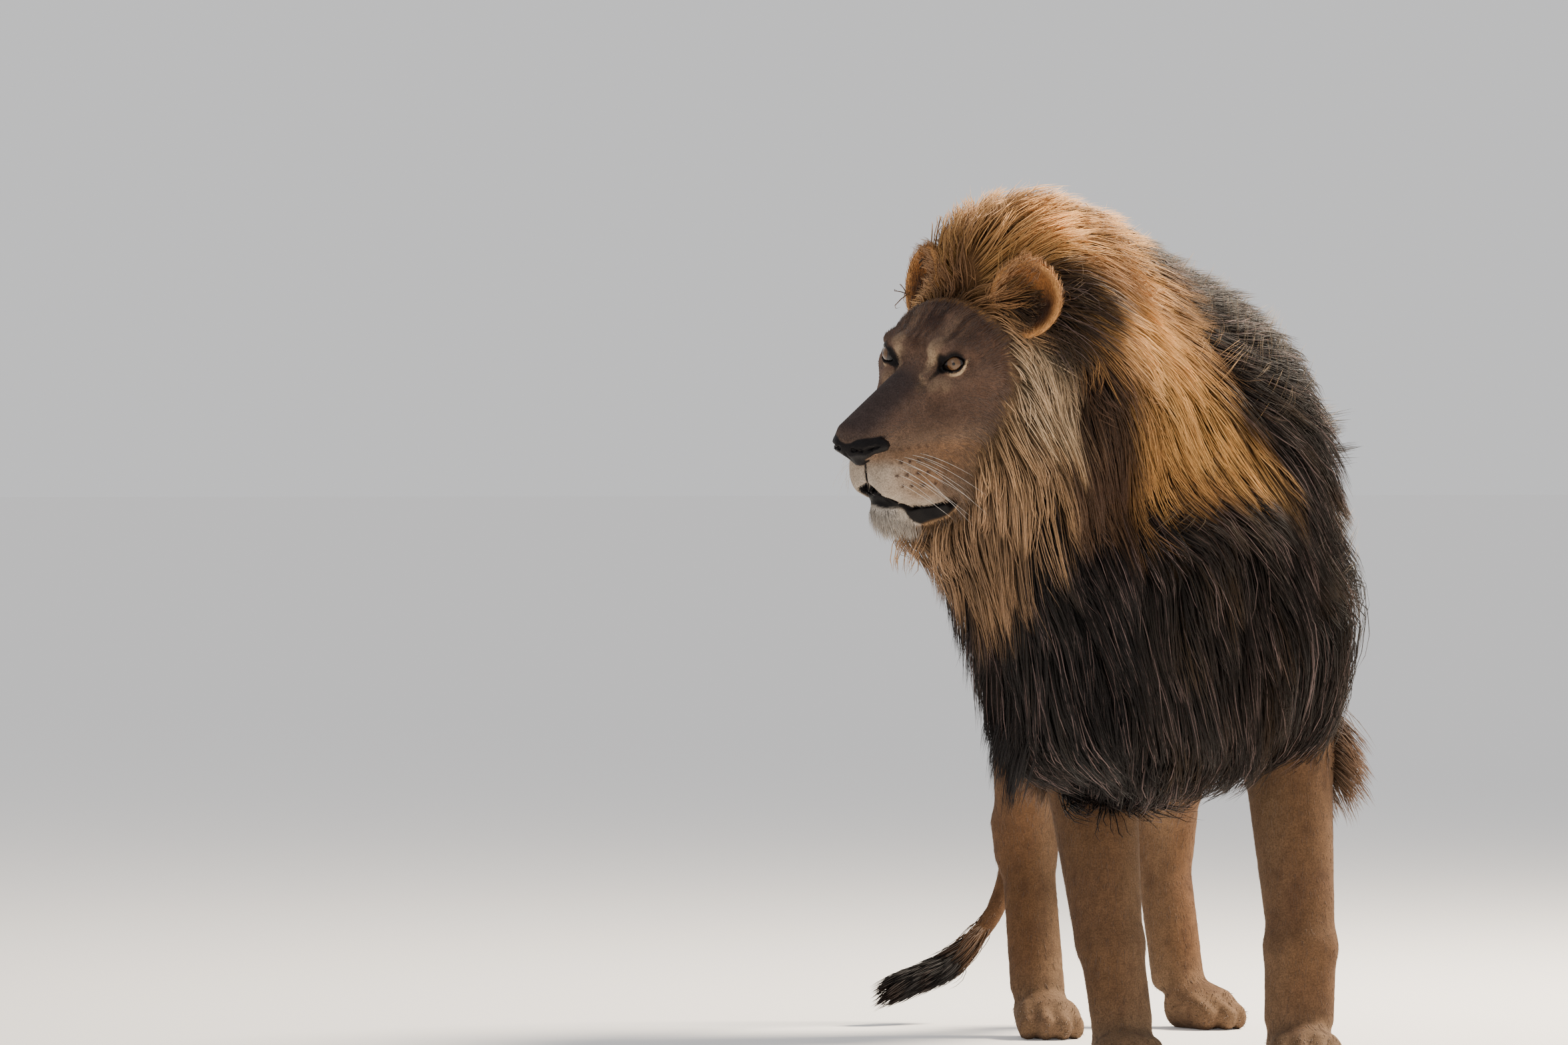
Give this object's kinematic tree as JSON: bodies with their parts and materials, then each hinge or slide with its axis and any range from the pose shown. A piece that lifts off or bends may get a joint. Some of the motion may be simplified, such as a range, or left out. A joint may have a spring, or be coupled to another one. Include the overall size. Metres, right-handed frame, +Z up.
{
  "type": "lion",
  "caption": "Life-size standing male lion with a full dark mane, its head turned to its right and its tail hanging to one side.",
  "frame": {"origin": "on the floor, under the middle of the model's bounding box", "axes": "+Z up; the lion's body faces -Y and its left side is +X, so +Y runs along the body to the tail"},
  "size_m": [0.9088, 1.9426, 1.381],
  "materials": {
    "coat": "short tawny body fur",
    "short_fur": "very short brown face fur, cream on the muzzle and chin",
    "gold_mane": "long golden-brown mane hair with pale tips",
    "dark_mane": "long dark brown, nearly black mane hair",
    "nose_leather": "bare dark nose and lip skin, slightly damp",
    "eye": "wet amber eye"
  },
  "bodies": {
    "root": {"head": "short_fur", "jaw": "short_fur", "nose": "nose_leather", "ear_left": "short_fur", "ear_right": "short_fur", "eye_left": "eye", "eye_right": "eye", "neck_mane": "gold_mane", "chest_mane": "dark_mane", "trunk": "coat", "foreleg_left": "coat", "foreleg_right": "coat", "forepaw_left": "coat", "forepaw_right": "coat", "elbow_tuft_left": "dark_mane", "elbow_tuft_right": "dark_mane", "thigh_left": "coat", "thigh_right": "coat", "shank_left": "coat", "shank_right": "coat", "cannon_left": "coat", "cannon_right": "coat", "hindpaw_left": "coat", "hindpaw_right": "coat", "tail": "coat", "tail_tuft": "dark_mane"}
  },
  "joints": []
}
